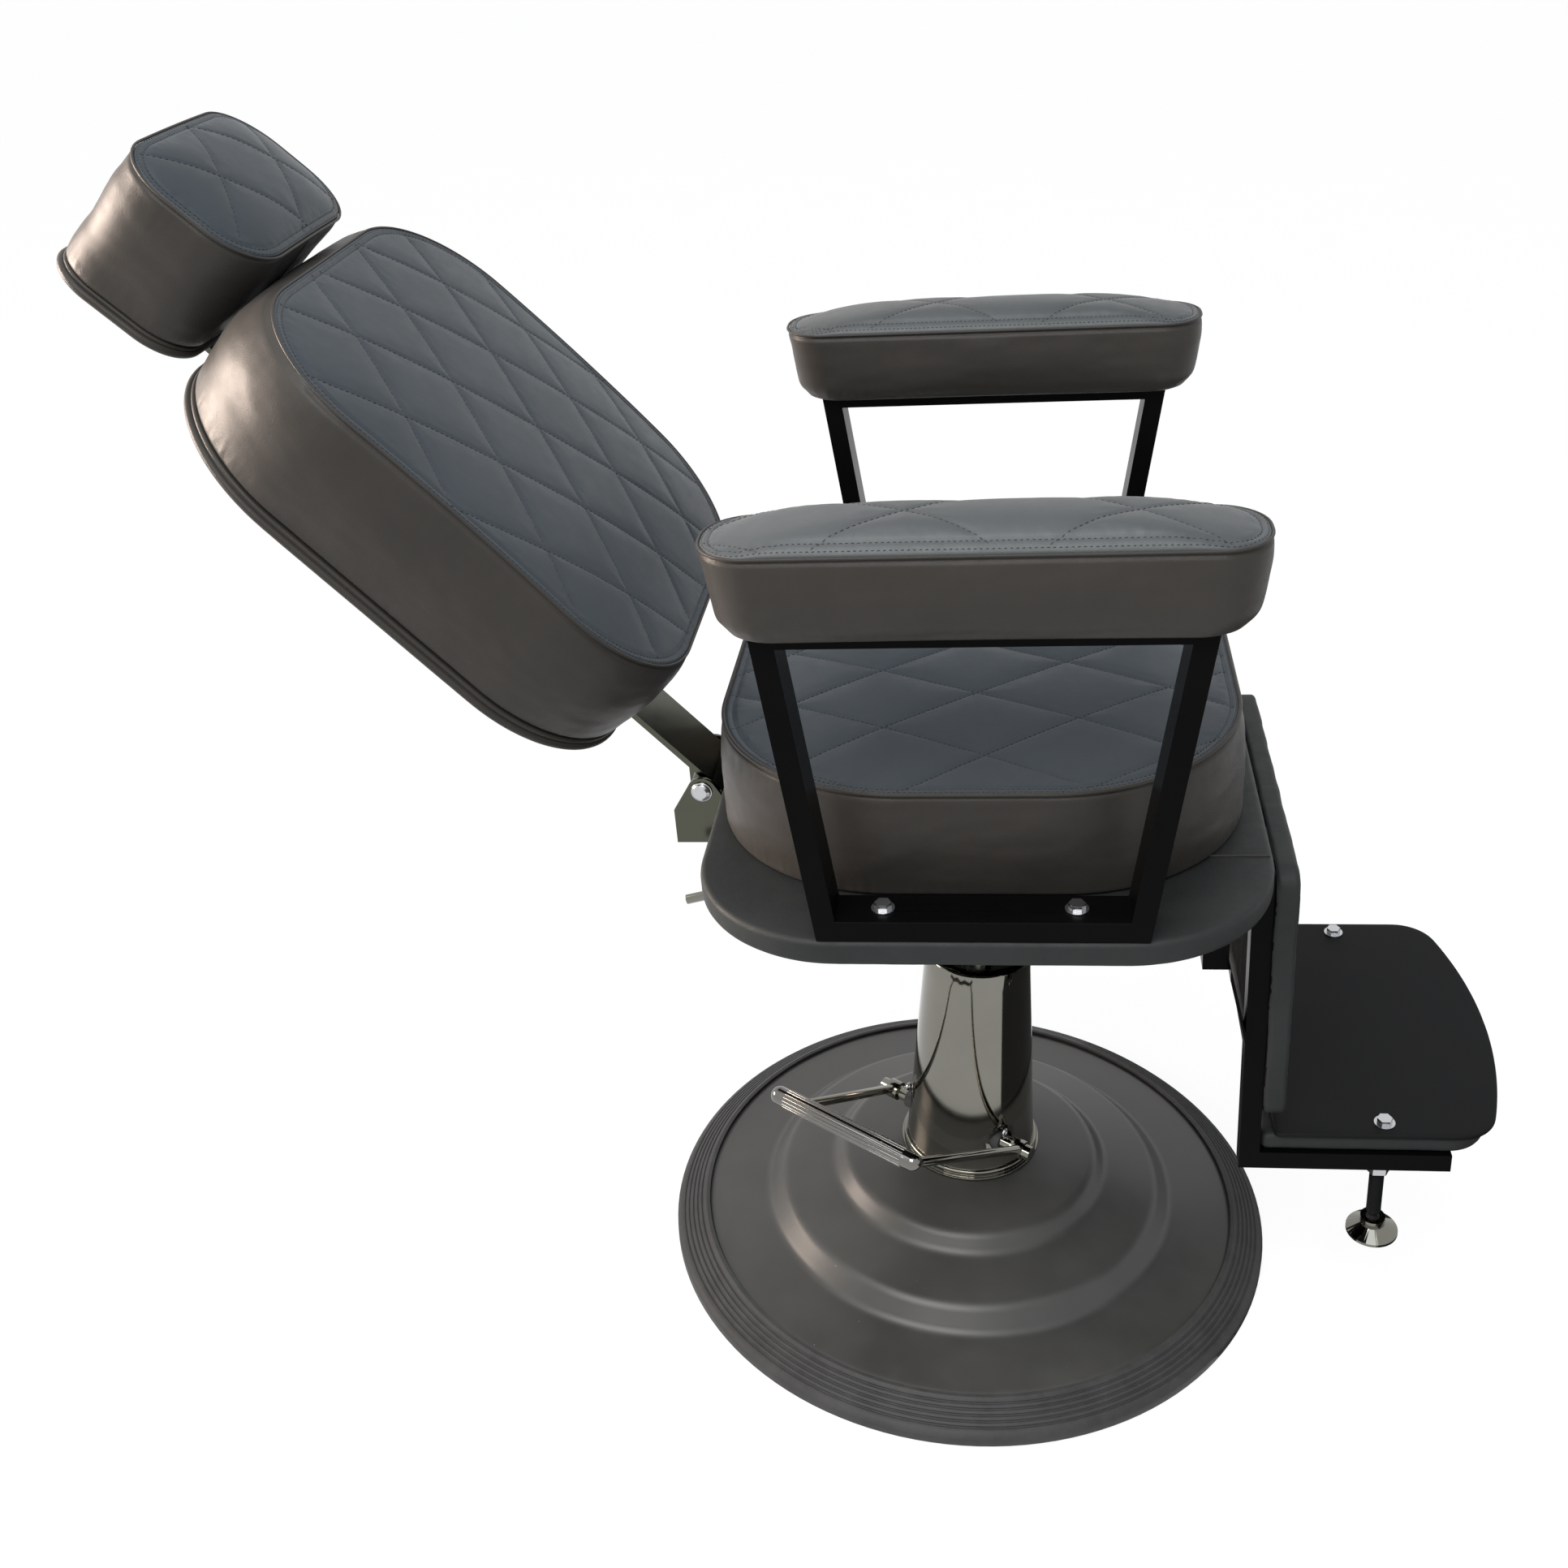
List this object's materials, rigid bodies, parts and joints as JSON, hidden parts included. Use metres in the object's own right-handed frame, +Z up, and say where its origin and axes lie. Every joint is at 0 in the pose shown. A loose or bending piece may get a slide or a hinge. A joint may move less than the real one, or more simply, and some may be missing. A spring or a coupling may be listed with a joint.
{
  "type": "barber chair",
  "caption": "Hydraulic barber chair with a round weighted base, pump pedal, quilted seat, padded armrests, reclining back with a sliding headrest, and a footrest on a calf frame.",
  "frame": {"origin": "centre of the round base, on the floor", "axes": "+X is the way the sitter faces, +Y is the sitter's left, +Z is up"},
  "size_m": [1.3965, 0.71, 1.2278],
  "materials": {
    "vinyl": "grained black vinyl, satin",
    "black_paint": "glossy black paint",
    "matt_black": "matt black powder coat",
    "rubber": "matt black rubber",
    "chrome": "polished chrome plate",
    "dark_chrome": "smoked chrome plate",
    "stainless": "brushed stainless steel",
    "zinc": "bright zinc plate",
    "casting": "painted casting",
    "brass": "turned brass"
  },
  "bodies": {
    "base": {"base_dome": "black_paint", "base_rubber_ring": "rubber", "base_plate": "black_paint", "pump_body": "casting", "pump_gland": "brass", "pump_bolts": "zinc", "pump_cover": "chrome", "pedal_bushes": "rubber"},
    "pedal": {"pedal_shaft": "chrome", "pedal_arms": "chrome", "pedal_bar": "dark_chrome", "split_pins": "zinc"},
    "ram": {"ram": "chrome", "ram_seal": "rubber"},
    "seat": {"seat_saddle": "black_paint", "under_frame": "black_paint", "recline_bracket": "stainless", "pivot_bolt": "zinc", "gas_spring_clevis": "stainless", "lever_bracket": "black_paint", "seat_board": "vinyl", "seat_cushion": "vinyl", "armrest_frame_right": "black_paint", "armrest_frame_left": "black_paint", "armrest_bolts": "zinc", "armrest_pad_right": "vinyl", "armrest_pad_left": "vinyl", "calf_panel": "vinyl", "footrest_frame": "black_paint", "footrest_board": "vinyl", "footrest_plate": "matt_black", "footrest_bolts": "zinc", "foot_nuts": "zinc"},
    "gas_rod": {"gas_spring_rod": "chrome"},
    "gas_cylinder": {"gas_spring_cylinder": "black_paint"},
    "lever": {"recline_lever": "chrome"},
    "back": {"back_bar": "stainless", "back_bar_screws": "zinc", "back_board": "vinyl", "backrest_cushion": "vinyl", "headrest_guide": "stainless", "guide_screws": "zinc"},
    "headrest": {"headrest_post": "stainless", "headrest_board": "vinyl", "headrest_cushion": "vinyl"},
    "foot_right": {"foot_rod_right": "matt_black"},
    "foot_left": {"foot_rod_left": "matt_black"},
    "disc_right": {"foot_disc_right": "chrome"},
    "disc_left": {"foot_disc_left": "chrome"}
  },
  "joints": [
    {"name": "lift", "type": "slide", "parent": "base", "child": "ram", "axis": [0, 0, 1], "range_m": [-0.14, 0.02]},
    {"name": "swivel", "type": "hinge", "parent": "ram", "child": "seat", "pos_m": [0, 0, 0.55], "axis": [0, 0, 1], "continuous": true},
    {"name": "pump_pedal", "type": "hinge", "parent": "base", "child": "pedal", "pos_m": [-0.01709, -0.02823, 0.158], "axis": [0.8554, -0.518, 0], "range_deg": [0, 22], "stiffness_Nm_per_rad": 25, "springref_deg": -17.19},
    {"name": "recline", "type": "hinge", "parent": "seat", "child": "back", "pos_m": [-0.28873, 0, 0.58232], "axis": [0, 1, 0], "range_deg": [-17.5, 32.5]},
    {"name": "gas_rod_pivot", "type": "hinge", "parent": "seat", "child": "gas_rod", "pos_m": [-0.08877, 0, 0.55507], "axis": [0, 1, 0], "range_deg": [-1, 1]},
    {"name": "gas_slide", "type": "slide", "parent": "gas_rod", "child": "gas_cylinder", "axis": [-0.9956, 0, -0.0933], "range_m": [-0.0145, 0.026]},
    {"name": "headrest_slide", "type": "slide", "parent": "back", "child": "headrest", "axis": [-0.7179, 0, 0.6962], "range_m": [0, 0.1]},
    {"name": "recline_lever", "type": "hinge", "parent": "seat", "child": "lever", "pos_m": [-0.06874, -0.112, 0.56527], "axis": [0, 1, 0], "range_deg": [0, 12], "stiffness_Nm_per_rad": 3, "springref_deg": -20.05},
    {"name": "foot_right_screw", "type": "slide", "parent": "seat", "child": "foot_right", "axis": [0.059, 0, -0.9983], "range_m": [0, 0.015]},
    {"name": "foot_right_tilt", "type": "hinge", "parent": "foot_right", "child": "disc_right", "pos_m": [0.41615, -0.168, 0.18119], "axis": [0, 1, 0], "range_deg": [-15, 15]},
    {"name": "foot_left_screw", "type": "slide", "parent": "seat", "child": "foot_left", "axis": [0.059, 0, -0.9983], "range_m": [0, 0.015]},
    {"name": "foot_left_tilt", "type": "hinge", "parent": "foot_left", "child": "disc_left", "pos_m": [0.41615, 0.168, 0.18119], "axis": [0, 1, 0], "range_deg": [-15, 15]}
  ],
  "couplings": [
    {"joint": "gas_rod_pivot", "follows": "recline", "ratio": 0.008},
    {"joint": "gas_slide", "follows": "recline", "m_per_rad": 0.0444}
  ]
}
